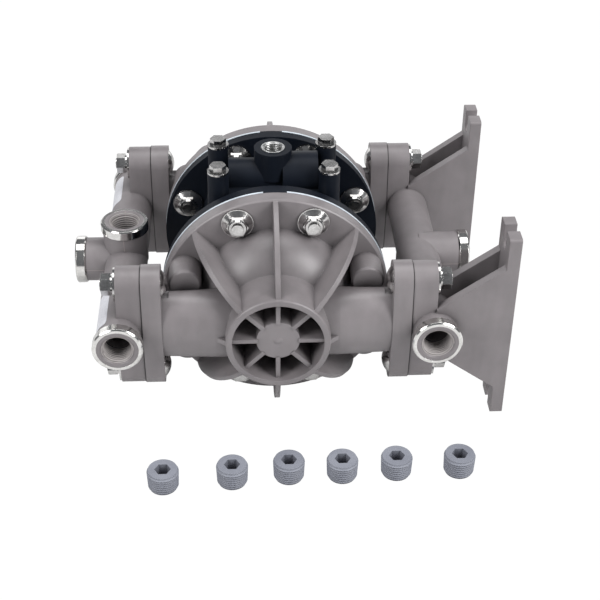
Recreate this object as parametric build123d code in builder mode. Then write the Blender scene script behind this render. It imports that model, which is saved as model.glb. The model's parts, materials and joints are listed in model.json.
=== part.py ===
"""Air operated double diaphragm pump, lying on its back with the air inlet up.

X runs from the outlet manifold to the inlet manifold and its feet, Y is the axis of the
diaphragm shaft and Z is up. The origin is under the middle of the pump, on the surface that
it rests on. Everything is in millimetres.
"""

import os
from math import asin, cos, radians, sin, sqrt

from build123d import *

os.makedirs("parts", exist_ok=True)

# Overall layout
axis_height = 86.0  # shaft axis above the surface that the pump rests on
joint_x = 91.2  # joint face between a fluid cap and a manifold
flange_y = 83.5  # centre of a fluid joint, from the middle of the pump
end_mouth_y = 113.0  # mouth of an end port
pipe_x = 107.3  # axis of a manifold pipe
side_mouth_x = 143.5  # mouth of the sideways port
vertical_mouth = 32.5  # mouth of the vertical port, from the shaft axis

# General clearances
fit_gap = 0.05  # radial, between pieces fitted into each other
bolt_gap = 0.15  # radial, between a bolt and its hole
seat_gap = 0.02  # between a piece and the bottom of its recess
overlap = 1.0  # how far a shape grows into its neighbour, or a cut reaches past its piece

# Stack of discs, as distances from the middle of the pump
rim_radius = 79.8
air_cap_face = 35.3  # inner face of the air cap's rim
air_cap_rim = 8.0
diaphragm_edge = 1.4
cap_rim = 10.4
diaphragm_stand_out = 0.3
diaphragm_radius = rim_radius + diaphragm_stand_out
clamp_face = air_cap_face + air_cap_rim
cap_back = clamp_face + diaphragm_edge
cap_front = cap_back + cap_rim

# Fluid cap
boss_front = 110.0
ring_radius = 35.4
ring_wall = 4.3
ring_draft = 1.8  # growth of the ring's radius towards its root
ring_root = 81.5
ring_floor = 82.5
dome_foot_radius = 57.0
dome_swell = 2.6
chamber_radius = 54.0
chamber_step = 52.0
chamber_roof = 78.0
chamber_roof_radius = 33.5
hub_radius = 14.7
hub_front = 105.4
hub_nub_ball = 6.2  # radius of the ball that the nub on the hub is part of
hub_nub_height = 0.9
spoke_thickness = 3.0
spoke_front = 106.2
rib_thickness = 3.5
rib_count = 8
rib_crown = 6.5  # how far the rib's edge bulges out and forward
short_ribs = (0, 4)
rib_inset = 1.0
rib_drop = 1.5
rib_tip_length = 5.5  # of the short ribs on the ducts
rim_edge = 1.0
ring_edge = 0.8

# Side ducts of the fluid cap
duct_half_height = 25.0
duct_half_depth_flange = 15.3
duct_half_depth_root = 20.0
duct_root_x = 42.0
duct_end_x = 24.0
passage_radius = 9.0
elbow_x = 43.0

# Fluid joint flanges
flange_waist_radius = 16.0
flange_end_radius = 13.2
flange_bolt_z = 33.5
cap_flange_thickness = 13.3
manifold_flange_thickness = 16.7
manifold_flange_shy = 0.7  # how much smaller the manifold's flange is
flange_inner_x = joint_x - cap_flange_thickness
flange_outer_x = joint_x + manifold_flange_thickness

# Ball checks
ball_radius = 9.5
ball_lift = 5.0
ball_pocket_radius = 10.7
ball_stop_thickness = 3.0
ball_stop_width = 4.0
ball_stop_pip_radius = 2.5
seat_radius = 12.0
seat_bore = 6.5
seat_thickness = 5.0
seat_ring_cord = 0.88
seat_ring_play = 0.15
seat_ring_radius = seat_radius + seat_ring_cord + seat_ring_play
seat_ring_recess_radius = seat_ring_radius + seat_ring_cord + seat_ring_play
seat_ring_recess_depth = 2 * seat_ring_cord + seat_gap
ball_rise = sqrt(ball_radius**2 - seat_bore**2) + seat_gap  # centre above the seat's face
inlet_ball_x = joint_x - ball_rise
outlet_ball_x = joint_x + ball_rise
inlet_stop_x = inlet_ball_x - ball_lift - ball_radius - seat_gap
outlet_stop_x = outlet_ball_x + ball_lift + ball_radius + seat_gap

# Threaded ports, nominal half inch pipe thread
port_bore = 10.0
port_bore_depth = 16.0
port_chamfer = 1.7
neck_radius = 15.25
branch_radius = 15.8  # neck of the sideways and vertical ports
port_ring_bore = 14.2
port_ring_radius = 17.1
port_ring_width = 7.5
port_ring_edge = 0.9
main_bore = 9.3

# Manifold feet
foot_inner_x = 151.5
foot_thickness = 8.5
foot_width = 31.6
foot_half_height = 72.5
foot_slot_width = 8.6
foot_slot_depth = 16.0
foot_corner_radius = 2.0
gusset_thickness = 6.8
gusset_root_half = 18.0
gusset_foot_half = 50.0

# Cap studs and nuts, nominal M8
stud_radius = 3.95
stud_circle = 67.5
stud_first_angle = 22.5
stud_stand_out = 1.6  # beyond the nut
blind_stud_end = 62.0
blind_stud_play = 1.5  # behind the end of a blind stud
blind_boss_radius = 11.2
blind_boss_end = 65.6
blind_boss_edge = 1.5
nut_flat = 13.0  # across flats
nut_height = 8.0
nut_flange_radius = 11.0
nut_flange_thickness = 1.2
nut_flange_step = 0.6  # how much smaller the cone on the flange is
nut_cone_height = 2.6
nut_crown_height = 1.4
nut_crown_slope = 0.7
nut_clearance = 0.4  # around the flange, where the dome is cut back for it
stud_end = cap_front + nut_height + stud_stand_out

# Fluid joint bolts, nominal M8 with a mushroom head
head_radius = 9.6
head_height = 4.2
head_clearance = 0.5
washer_radius = 11.6
washer_thickness = 1.5
spring_washer_radius = 6.9
spring_washer_thickness = 1.8
spring_washer_split = 1.2
plain_nut_height = 6.5
plain_bolt_stand_out = 0.8

# Air cap
dish_back = 25.0
dish_floor = 31.4
dish_floor_radius = 42.0
dish_lip = 41.4
dish_lip_radius = 56.0
dish_back_radius = 44.0
dish_shoulder_radius = 56.5
shaft_clearance_radius = 8.0
key_width = 16.0
key_depth = 2.2
key_gap = 0.1
saddle_pocket_radius = 12.0
saddle_pocket_floor = 26.4

# Centre housing
pad_half_x = 46.5
pad_top = 58.0
base_half_x = 36.0
base_half_y = dish_back
base_corner = 6.0
base_bottom = -58.0
air_cap_screw_radius = 2.45
air_cap_screw_head_radius = 4.2
air_cap_screw_head_height = 3.4
air_cap_screw_hex_flat = 4.1
air_cap_screw_hex_depth = 2.4
air_cap_screw_sink = 3.8
air_cap_screw_circle = 37.0
air_cap_screw_reach = 14.0  # length of the shank in the housing
air_cap_screw_count = 6
air_passage_radius = 2.2
air_passage_z = 36.0
outlet_port_x = 10.0
exhaust_port_x = -15.5

# Shaft and diaphragm plates
shaft_radius = 7.0
shaft_stub_radius = 4.95
diaphragm_mid = 2.4  # thickness between the plates
diaphragm_set_back = 0.4  # of the air side between the plates
diaphragm_air_face = clamp_face - diaphragm_set_back
plate_radius = 32.0
inner_plate_thickness = 5.0
outer_plate_thickness = 6.0
outer_plate_radius = 31.0
plate_edge_fillet = 2.0
shaft_nut_flat = 17.0
shaft_nut_height = 8.0
shaft_stand_out = 1.5  # beyond the nut
convolution_rise = 4.6
bushing_radius = 11.0
bushing_length = 14.0
shaft_seal_length = 3.0

# Pilot rod
pilot_x = 22.0
pilot_radius = 4.0
pilot_reach = 1.9  # how far the rod stands out of the dish floor at mid stroke
pilot_bushing_radius = 6.0
pilot_bushing_length = 10.0
pilot_hole_gap = 0.6

# Air valve block
gasket_thickness = 1.0
block_base_thickness = 6.0
post_x = 38.6
post_y = 19.5
post_radius = 7.4
post_top = 82.0
valve_axis_z = 69.3
valve_body_radius_large = 15.8
valve_body_radius_small = 11.6
valve_body_step_x = 6.5
valve_body_end_x = 31.5
inlet_boss_radius = 13.3
inlet_boss_top = 90.2
insert_radius = 8.3
insert_bore = 6.5
insert_length = 12.0
insert_lip = 0.3
insert_chamfer = 0.8
sleeve_radius = 8.0
sleeve_bore = 6.0
sleeve_half_length = 25.0
supply_port_radius = 2.5
spool_half_length = 19.5
spool_neck_radius = 3.6
spool_land_half = 2.5
spool_end_land = 2.0
end_plug_hex_flat = 6.0
end_plug_hex_depth = 3.5

# Valve block bolts, nominal M6 with a flange head
flange_bolt_radius = 2.95
flange_bolt_flat = 10.0
flange_bolt_head = 5.6
flange_bolt_flange_radius = 7.5
flange_bolt_flange_thickness = 1.4
flange_bolt_reach = 14.0  # length of the shank below the pad's top

# Exhaust cover
cover_cavity_half_x = 20.0
cover_cavity_half_y = 16.0
cover_floor = 6.0
cover_screw_x = 28.0
cover_screw_y = 18.5
cover_screw_radius = 2.95
cover_screw_head_radius = 4.9
cover_screw_head_height = 6.0
cover_screw_hex_flat = 5.0
cover_screw_sink = 7.5
cover_screw_reach = 12.0
muffler_radius = 11.0
muffler_length = 28.0
muffler_bore = 4.0
muffler_stub_radius = 6.4
muffler_stub_length = 11.0
muffler_groove_count = 6
muffler_groove_pitch = 3.6
muffler_groove_width = 1.6
muffler_groove_depth = 2.2
muffler_height = -70.0

# Loose blanking plugs, nominal half inch pipe thread
plug_radius = 10.9
plug_taper = 0.5  # how much smaller the lower end is
plug_height = 15.0
plug_thread_count = 7
plug_pitch = 1.81
plug_thread_depth = 0.9
plug_hex_flat = 9.6
plug_hex_depth = 8.5
plug_crest_width = 0.2  # of a thread crest, as a share of the pitch
plug_places = (
    (-79.4, -152.0),
    (-32.7, -148.8),
    (6.0, -145.3),
    (42.5, -145.6),
    (79.9, -144.0),
    (123.3, -143.6),
)

SIDES = ("front", "rear")
ENDS = {"outlet": -1, "inlet": 1}
ON_BASE = (Align.CENTER, Align.CENTER, Align.MIN)
shaft_axis = Axis((0, 0, axis_height), (0, 1, 0))
through_angles = [quarter + turn for quarter in (90, 270) for turn in (-stud_first_angle, stud_first_angle)]
blind_angles = [quarter + turn for quarter in (0, 180) for turn in (-stud_first_angle, stud_first_angle)]
air_cap_screw_angles = [30 + 360 * index / air_cap_screw_count for index in range(air_cap_screw_count)]
joint_bolt_points = ((0, flange_bolt_z), (0, -flange_bolt_z))
post_points = ((post_x, post_y), (post_x, -post_y), (-post_x, post_y), (-post_x, -post_y))
cover_screw_points = (
    (cover_screw_x, cover_screw_y),
    (cover_screw_x, -cover_screw_y),
    (-cover_screw_x, cover_screw_y),
    (-cover_screw_x, -cover_screw_y),
)
diaphragm_fluid_face = diaphragm_air_face + diaphragm_mid
inner_plate_back = diaphragm_air_face - inner_plate_thickness
outer_plate_front = diaphragm_fluid_face + outer_plate_thickness
shaft_nut_front = outer_plate_front + shaft_nut_height
shaft_end = shaft_nut_front + shaft_stand_out
gasket_top = pad_top + gasket_thickness
cover_top = base_bottom - gasket_thickness


def outward(side):
    """Direction from the middle of the pump towards one of its fluid caps."""
    return Vector(0, -1, 0) if side == "front" else Vector(0, 1, 0)


def upward(side):
    """Which way is up in the planes that lie across the shaft axis."""
    return 1 if side == "front" else -1


def face_plane(side, distance=0.0, point=(0, 0)):
    """Plane across the shaft axis, at a distance from the middle, facing out of the pump."""
    origin = Vector(point[0], 0, axis_height + upward(side) * point[1]) + outward(side) * distance
    return Plane(origin=origin, x_dir=(1, 0, 0), z_dir=outward(side))


def back_plane(side, distance=0.0, point=(0, 0)):
    """The same plane, facing the middle of the pump."""
    place = face_plane(side, distance, point)
    return Plane(origin=place.origin, x_dir=place.x_dir, z_dir=-place.z_dir)


def radial_plane(side, angle=0.0):
    """Plane through the shaft axis: x runs out along the radius and y runs out of the pump."""
    radial = Vector(cos(radians(angle)), 0, sin(radians(angle)))
    return Plane(origin=(0, 0, axis_height), x_dir=radial, z_dir=radial.cross(outward(side)))


def duct_plane(side, end, x, point=(0, 0)):
    """Plane across a side duct, facing away from the middle of the pump."""
    y = outward(side).Y * flange_y + end * point[0]
    return Plane(origin=(end * x, y, axis_height + point[1]), x_dir=(0, end, 0), z_dir=(end, 0, 0))


def level_plane(height, point=(0, 0)):
    """Horizontal plane at a height from the shaft axis."""
    return Plane(origin=(point[0], point[1], axis_height + height), x_dir=(1, 0, 0), z_dir=(0, 0, 1))


def valve_plane(x):
    """Plane across the axis of the air valve."""
    return Plane(origin=(x, 0, axis_height + valve_axis_z), x_dir=(0, 1, 0), z_dir=(1, 0, 0))


def polar(radius, angles):
    """Points on a circle, at angles in degrees."""
    return [(radius * cos(radians(a)), radius * sin(radians(a))) for a in angles]


def port_planes(end):
    """Mouths of a manifold's four threaded ports, facing out, each with its depth to the pipe's axis."""
    front = Plane(origin=(end * pipe_x, -end_mouth_y, axis_height), x_dir=(1, 0, 0), z_dir=(0, -1, 0))
    rear = Plane(origin=(end * pipe_x, end_mouth_y, axis_height), x_dir=(1, 0, 0), z_dir=(0, 1, 0))
    side = Plane(origin=(end * side_mouth_x, 0, axis_height), x_dir=(0, 1, 0), z_dir=(end, 0, 0))
    height = axis_height - end * vertical_mouth
    vertical = Plane(origin=(end * pipe_x, 0, height), x_dir=(1, 0, 0), z_dir=(0, 0, -end))
    depths = (end_mouth_y, end_mouth_y, side_mouth_x - pipe_x, vertical_mouth)
    return list(zip((front, rear, side, vertical), depths))


def pipe_plane(end, y):
    """Plane across a manifold's pipe, facing the rear."""
    return Plane(origin=(end * pipe_x, y, axis_height), x_dir=(1, 0, 0), z_dir=(0, 1, 0))


def oval(shrink=0.0):
    """Outline of a two bolt flange, in the sketch that is being drawn."""
    Circle(flange_waist_radius - shrink)
    with Locations(*joint_bolt_points):
        Circle(flange_end_radius - shrink)
    make_hull()


def seat_recess(side, end, inward):
    """Stepped recess for a ball seat and its sealing ring, cut into the joint face."""
    seat_depth = seat_thickness + seat_gap
    with Locations(duct_plane(side, end, joint_x + min(0, inward * seat_depth))):
        Cylinder(seat_radius + fit_gap, seat_depth, align=ON_BASE, mode=Mode.SUBTRACT)
    with Locations(duct_plane(side, end, joint_x + min(0, inward * seat_ring_recess_depth))):
        Cylinder(seat_ring_recess_radius, seat_ring_recess_depth, align=ON_BASE, mode=Mode.SUBTRACT)


def flanged_hexagon(place):
    """Hexagon on a conical flange, standing on a plane, in the part that is being built."""
    with Locations(place):
        Cylinder(nut_flange_radius, nut_flange_thickness, align=ON_BASE)
    with Locations(place.offset(nut_flange_thickness)):
        Cone(nut_flange_radius - nut_flange_step, nut_flat / 2, nut_cone_height, align=ON_BASE)
    with BuildSketch(place) as hexagon:
        RegularPolygon(nut_flat / 2, 6, major_radius=False)
    extrude(hexagon.sketch, amount=nut_height - nut_crown_height)
    with Locations(place.offset(nut_height - nut_crown_height)):
        Cone(nut_flat / 2, nut_flat / 2 - nut_crown_slope, nut_crown_height, align=ON_BASE)


def domed_head(place):
    """Mushroom head of a joint bolt, standing on a plane, in the part that is being built."""
    ball = (head_radius**2 + head_height**2) / (2 * head_height)
    half_angle = asin(head_radius / ball) / 2
    middle = (ball * sin(half_angle), head_height - ball + ball * cos(half_angle))
    with BuildSketch(Plane(origin=place.origin, x_dir=place.x_dir, z_dir=-place.y_dir)) as outline:
        with BuildLine():
            Polyline((0, head_height), (0, 0), (head_radius, 0))
            ThreePointArc((head_radius, 0), middle, (0, head_height))
        make_face()
    revolve(outline.sketch, axis=Axis(place.origin, place.z_dir))


def write(builder, name):
    """Label a finished piece and write it to its own file."""
    builder.part.label = name
    export_step(builder.part, f"parts/{name}.step")


def fluid_cap(side):
    """Moulded cover of a fluid chamber, with its dome, ribs, ring boss, ducts and flanges."""
    with BuildPart() as cap:
        # rim, dome and ring boss, solid for now
        foot = (dome_foot_radius, cap_front)
        root = (ring_radius + ring_draft, ring_root)
        crown = ((foot[0] + root[0]) / 2 + dome_swell, (foot[1] + root[1]) / 2 + dome_swell)
        with BuildSketch(radial_plane(side)):
            with BuildLine():
                Polyline(
                    (0, cap_back),
                    (rim_radius, cap_back),
                    (rim_radius, cap_front - rim_edge),
                    (rim_radius - rim_edge, cap_front),
                    foot,
                )
                ThreePointArc(foot, crown, root)
                Polyline(
                    root,
                    (ring_radius, boss_front - ring_edge),
                    (ring_radius - ring_edge, boss_front),
                    (0, boss_front),
                    (0, cap_back),
                )
            make_face()
        revolve(axis=shaft_axis)
        # ribs from the rim to the ring boss, and short ones where a duct is in the way
        low = (rim_radius - rib_inset, cap_front)
        high = (ring_radius - rib_inset, boss_front - rib_drop)
        bulge = ((low[0] + high[0]) / 2 + rib_crown, (low[1] + high[1]) / 2 + rib_crown)
        rib_foot = cap_front - overlap
        for index in range(rib_count):
            with BuildSketch(radial_plane(side, 360 * index / rib_count)):
                with BuildLine():
                    if index in short_ribs:
                        tip = ring_radius + rib_tip_length
                        duct_front = flange_y + duct_half_depth_root
                        Polyline(high, (tip, duct_front), (tip, flange_y), (high[0], flange_y), high)
                    else:
                        ThreePointArc(low, bulge, high)
                        Polyline(high, (high[0], rib_foot), (low[0], rib_foot), low)
                make_face()
            extrude(amount=rib_thickness / 2, both=True)
        # side ducts with their flanges
        for end in ENDS.values():
            with BuildSketch(duct_plane(side, end, flange_inner_x)):
                Ellipse(duct_half_depth_flange, duct_half_height)
            with BuildSketch(duct_plane(side, end, duct_root_x)):
                Ellipse(duct_half_depth_root, duct_half_height)
            loft()
            with BuildSketch(duct_plane(side, end, duct_end_x)):
                Ellipse(duct_half_depth_root, duct_half_height)
            extrude(amount=duct_root_x - duct_end_x)
            with BuildSketch(duct_plane(side, end, flange_inner_x)):
                oval()
            extrude(amount=cap_flange_thickness)
        # closed bosses over the bolts beside the ducts
        for point in polar(stud_circle, blind_angles):
            with Locations(face_plane(side, rib_foot, point)):
                Cylinder(blind_boss_radius, blind_boss_end - blind_boss_edge - rib_foot, align=ON_BASE)
            with Locations(face_plane(side, blind_boss_end - blind_boss_edge, point)):
                Cone(blind_boss_radius, blind_boss_radius - blind_boss_edge, blind_boss_edge, align=ON_BASE)
        # joint bolts, with room for their mushroom heads
        for end in ENDS.values():
            for point in joint_bolt_points:
                room = head_height + head_clearance
                with Locations(duct_plane(side, end, flange_inner_x - room, point)):
                    Cylinder(head_radius + head_clearance, room, align=ON_BASE, mode=Mode.SUBTRACT)
                with Locations(duct_plane(side, end, flange_inner_x, point)):
                    Cylinder(stud_radius + bolt_gap, cap_flange_thickness, align=ON_BASE, mode=Mode.SUBTRACT)
        # fluid chamber
        with BuildSketch(radial_plane(side)):
            with BuildLine():
                Polyline(
                    (0, cap_back),
                    (chamber_radius, cap_back),
                    (chamber_radius, chamber_step),
                    (chamber_roof_radius, chamber_roof),
                    (0, chamber_roof),
                    (0, cap_back),
                )
            make_face()
        revolve(axis=shaft_axis, mode=Mode.SUBTRACT)
        # hollow of the ring boss, then its hub and spokes
        hollow_depth = boss_front - ring_floor + overlap
        with Locations(face_plane(side, ring_floor)):
            Cylinder(ring_radius - ring_wall, hollow_depth, align=ON_BASE, mode=Mode.SUBTRACT)
        with Locations(face_plane(side, ring_floor - overlap)):
            Cylinder(hub_radius, hub_front - ring_floor + overlap, align=ON_BASE)
        spoke_reach = 2 * (ring_radius - ring_wall) + overlap
        with BuildSketch(face_plane(side, ring_floor - overlap)):
            for index in range(rib_count // 2):
                Rectangle(spoke_reach, spoke_thickness, rotation=360 * index / rib_count)
            Circle(hub_radius - overlap, mode=Mode.SUBTRACT)
        extrude(amount=spoke_front - ring_floor + overlap)
        with Locations(face_plane(side, hub_front + hub_nub_height - hub_nub_ball)):
            Sphere(hub_nub_ball)
        # fluid passages: along each duct, then back into the chamber
        for end in ENDS.values():
            with Locations(duct_plane(side, end, elbow_x)):
                Cylinder(passage_radius, joint_x - elbow_x, align=ON_BASE, mode=Mode.SUBTRACT)
            with Locations(face_plane(side, chamber_step, (end * elbow_x, 0))):
                Cylinder(passage_radius, flange_y - chamber_step, align=ON_BASE, mode=Mode.SUBTRACT)
        # outlet seat, and the inlet ball's pocket with its stop bar
        seat_recess(side, ENDS["outlet"], -1)
        pocket_depth = joint_x - inlet_stop_x + ball_stop_thickness
        with Locations(duct_plane(side, ENDS["inlet"], joint_x - pocket_depth)):
            Cylinder(ball_pocket_radius, pocket_depth, align=ON_BASE, mode=Mode.SUBTRACT)
        with BuildSketch(duct_plane(side, ENDS["inlet"], inlet_stop_x)):
            Rectangle(ball_stop_width, 2 * ball_pocket_radius + overlap)
        extrude(amount=-ball_stop_thickness)
        # holes for the bolts of the disc stack, and room for their nuts at the foot of the dome
        for point in polar(stud_circle, through_angles):
            with Locations(face_plane(side, cap_back, point)):
                Cylinder(stud_radius + bolt_gap, cap_rim, align=ON_BASE, mode=Mode.SUBTRACT)
            with Locations(face_plane(side, cap_front, point)):
                Cylinder(nut_flange_radius + nut_clearance, nut_height, align=ON_BASE, mode=Mode.SUBTRACT)
        for point in polar(stud_circle, blind_angles):
            depth = blind_stud_end + blind_stud_play - cap_back
            with Locations(face_plane(side, cap_back, point)):
                Cylinder(stud_radius + bolt_gap, depth, align=ON_BASE, mode=Mode.SUBTRACT)
    return cap


def air_cap(side):
    """Dish behind a diaphragm, with half of the pad under the air valve block."""
    with BuildPart() as cap:
        with BuildSketch(radial_plane(side)):
            with BuildLine():
                Polyline(
                    (0, dish_back),
                    (dish_back_radius, dish_back),
                    (dish_shoulder_radius, air_cap_face),
                    (rim_radius, air_cap_face),
                    (rim_radius, clamp_face),
                    (0, clamp_face),
                    (0, dish_back),
                )
            make_face()
        revolve(axis=shaft_axis)
        # pad, with pockets around the bolt heads
        with BuildSketch(face_plane(side, dish_back)):
            with Locations((0, upward(side) * pad_top / 2)):
                Rectangle(2 * pad_half_x, pad_top)
        extrude(amount=air_cap_face - dish_back + overlap)
        pocket_depth = air_cap_face - saddle_pocket_floor
        for point in polar(stud_circle, through_angles):
            with Locations(face_plane(side, saddle_pocket_floor, point)):
                Cylinder(saddle_pocket_radius, pocket_depth, align=ON_BASE, mode=Mode.SUBTRACT)
        # key at the top that turns the diaphragm the right way round
        with BuildSketch(face_plane(side, clamp_face)):
            Circle(rim_radius)
            with Locations((0, upward(side) * rim_radius)):
                Rectangle(key_width, 2 * key_depth, mode=Mode.INTERSECT)
        extrude(amount=diaphragm_edge - seat_gap)
        # dish
        with BuildSketch(radial_plane(side)):
            with BuildLine():
                Polyline(
                    (0, dish_floor),
                    (dish_floor_radius, dish_floor),
                    (dish_lip_radius, dish_lip),
                    (dish_lip_radius, clamp_face + overlap),
                    (0, clamp_face + overlap),
                    (0, dish_floor),
                )
            make_face()
        revolve(axis=shaft_axis, mode=Mode.SUBTRACT)
        # shaft, pilot rod, air passage and screws to the housing
        floor_thickness = dish_floor - dish_back
        with Locations(face_plane(side, dish_back)):
            Cylinder(shaft_clearance_radius, floor_thickness, align=ON_BASE, mode=Mode.SUBTRACT)
        with Locations(face_plane(side, dish_back, (pilot_x, 0))):
            Cylinder(pilot_radius + pilot_hole_gap, floor_thickness, align=ON_BASE, mode=Mode.SUBTRACT)
        passage = (-upward(side) * outlet_port_x, upward(side) * air_passage_z)
        with Locations(face_plane(side, dish_back, passage)):
            Cylinder(air_passage_radius, floor_thickness, align=ON_BASE, mode=Mode.SUBTRACT)
        for point in polar(air_cap_screw_circle, air_cap_screw_angles):
            with Locations(face_plane(side, dish_back, point)):
                Cylinder(air_cap_screw_radius + bolt_gap, floor_thickness, align=ON_BASE, mode=Mode.SUBTRACT)
            head_hole = air_cap_screw_head_radius + bolt_gap
            with Locations(face_plane(side, dish_floor - air_cap_screw_sink, point)):
                Cylinder(head_hole, air_cap_screw_sink, align=ON_BASE, mode=Mode.SUBTRACT)
        for point in polar(stud_circle, through_angles + blind_angles):
            with Locations(face_plane(side, air_cap_face, point)):
                Cylinder(stud_radius + bolt_gap, air_cap_rim, align=ON_BASE, mode=Mode.SUBTRACT)
    return cap


def diaphragm(side):
    """Flexible disc with one rolled convolution around the plates."""
    bend = (dish_lip_radius + plate_radius) / 2
    inner = plate_radius + overlap
    outer = chamber_radius
    with BuildPart() as disc:
        with BuildSketch(radial_plane(side)):
            with BuildLine():
                Polyline(
                    (inner, diaphragm_air_face),
                    (shaft_stub_radius + fit_gap, diaphragm_air_face),
                    (shaft_stub_radius + fit_gap, diaphragm_fluid_face),
                    (inner, diaphragm_fluid_face),
                )
                ThreePointArc(
                    (inner, diaphragm_fluid_face),
                    (bend, diaphragm_fluid_face + convolution_rise),
                    (outer, cap_back),
                )
                Polyline(
                    (outer, cap_back),
                    (diaphragm_radius, cap_back),
                    (diaphragm_radius, clamp_face),
                    (outer, clamp_face),
                )
                ThreePointArc(
                    (outer, clamp_face),
                    (bend, diaphragm_air_face + convolution_rise),
                    (inner, diaphragm_air_face),
                )
            make_face()
        revolve(axis=shaft_axis)
        for point in polar(stud_circle, through_angles + blind_angles):
            with Locations(face_plane(side, clamp_face, point)):
                Cylinder(stud_radius + bolt_gap, diaphragm_edge, align=ON_BASE, mode=Mode.SUBTRACT)
        with BuildSketch(face_plane(side, clamp_face)):
            with Locations((0, upward(side) * rim_radius)):
                Rectangle(key_width + 2 * key_gap, 2 * (key_depth + key_gap))
        extrude(amount=diaphragm_edge, mode=Mode.SUBTRACT)
    return disc


def manifold(end):
    """Moulded pipe with two joint flanges and four threaded ports."""
    with BuildPart() as pipe:
        neck_end = end_mouth_y - port_ring_width
        with Locations(pipe_plane(end, -neck_end)):
            Cylinder(neck_radius, 2 * neck_end, align=ON_BASE)
        for mouth, depth in port_planes(end)[2:]:
            with Locations(mouth.offset(-depth)):
                Cylinder(branch_radius, depth - port_ring_width, align=ON_BASE)
        for mouth, depth in port_planes(end):
            with Locations(mouth.offset(-port_ring_width - overlap)):
                Cylinder(port_ring_bore, port_ring_width + overlap, align=ON_BASE)
        for side in SIDES:
            with BuildSketch(duct_plane(side, end, joint_x)):
                oval(manifold_flange_shy)
            extrude(amount=manifold_flange_thickness)
        # feet
        if end == ENDS["inlet"]:
            for side in SIDES:
                with BuildSketch(duct_plane(side, end, foot_inner_x)):
                    RectangleRounded(foot_width, 2 * foot_half_height, foot_corner_radius)
                    for point in (foot_half_height, -foot_half_height):
                        with Locations((0, point)):
                            SlotCenterToCenter(
                                2 * foot_slot_depth - foot_slot_width,
                                foot_slot_width,
                                rotation=90,
                                mode=Mode.SUBTRACT,
                            )
                extrude(amount=foot_thickness)
                for edge in (-foot_width / 2, foot_width / 2 - gusset_thickness):
                    place = duct_plane(side, end, 0, (edge, 0))
                    with BuildSketch(Plane(origin=place.origin, x_dir=(1, 0, 0), z_dir=(0, -1, 0))):
                        with BuildLine():
                            Polyline(
                                (pipe_x, gusset_root_half),
                                (flange_outer_x, gusset_root_half),
                                (foot_inner_x + overlap, gusset_foot_half),
                                (foot_inner_x + overlap, -gusset_foot_half),
                                (flange_outer_x, -gusset_root_half),
                                (pipe_x, -gusset_root_half),
                                (pipe_x, gusset_root_half),
                            )
                        make_face()
                    extrude(amount=-gusset_thickness)
        # bores
        with Locations(pipe_plane(end, -end_mouth_y)):
            Cylinder(main_bore, 2 * end_mouth_y, align=ON_BASE, mode=Mode.SUBTRACT)
        for mouth, depth in port_planes(end):
            with Locations(mouth.offset(-depth)):
                Cylinder(main_bore, depth, align=ON_BASE, mode=Mode.SUBTRACT)
            with Locations(mouth.offset(-port_bore_depth)):
                Cylinder(port_bore, port_bore_depth, align=ON_BASE, mode=Mode.SUBTRACT)
            with Locations(mouth.offset(-port_chamfer)):
                Cone(port_bore, port_bore + port_chamfer, port_chamfer, align=ON_BASE, mode=Mode.SUBTRACT)
        for side in SIDES:
            for point in joint_bolt_points:
                with Locations(duct_plane(side, end, joint_x, point)):
                    hole = stud_radius + bolt_gap
                    Cylinder(hole, manifold_flange_thickness, align=ON_BASE, mode=Mode.SUBTRACT)
            if end == ENDS["inlet"]:
                with Locations(duct_plane(side, end, joint_x)):
                    Cylinder(passage_radius, pipe_x - joint_x, align=ON_BASE, mode=Mode.SUBTRACT)
                seat_recess(side, end, 1)
            else:
                with Locations(duct_plane(side, end, joint_x)):
                    Cylinder(ball_pocket_radius, outlet_stop_x - joint_x, align=ON_BASE, mode=Mode.SUBTRACT)
                with Locations(duct_plane(side, end, outlet_stop_x)):
                    Cylinder(ball_stop_pip_radius, ball_stop_thickness + 2 * overlap, align=ON_BASE)
    return pipe


for side in SIDES:
    write(air_cap(side), f"air_cap_{side}")
    write(diaphragm(side), f"diaphragm_{side}")
    write(fluid_cap(side), f"fluid_cap_{side}")

for name, end in ENDS.items():
    write(manifold(end), f"{name}_manifold")
    with BuildPart() as port_rings:
        for mouth, depth in port_planes(end):
            with BuildSketch(mouth.offset(-port_ring_width)):
                Circle(port_ring_radius)
                Circle(port_ring_bore, mode=Mode.SUBTRACT)
            extrude(amount=port_ring_width)
        circles = port_rings.edges().filter_by(GeomType.CIRCLE)
        chamfer(circles.filter_by(lambda edge: edge.radius > port_ring_bore + overlap), port_ring_edge)
    write(port_rings, f"{name}_port_rings")

    # seats stand on the fluid cap's side of the outlet joint and on the manifold's side of the inlet joint
    with BuildPart() as seats:
        for side in SIDES:
            with BuildSketch(duct_plane(side, end, joint_x)):
                Circle(seat_radius)
                Circle(seat_bore, mode=Mode.SUBTRACT)
            extrude(amount=end * seat_thickness)
    write(seats, f"{name}_seats")

    with BuildPart() as seat_rings:
        for side in SIDES:
            with Locations(duct_plane(side, end, joint_x + end * seat_ring_recess_depth / 2)):
                Torus(seat_ring_radius, seat_ring_cord)
    write(seat_rings, f"{name}_seat_rings")

    for side in SIDES:
        with BuildPart() as ball:
            with Locations(duct_plane(side, end, inlet_ball_x if end == ENDS["inlet"] else outlet_ball_x)):
                Sphere(ball_radius)
        write(ball, f"{name}_ball_{side}")

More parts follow.
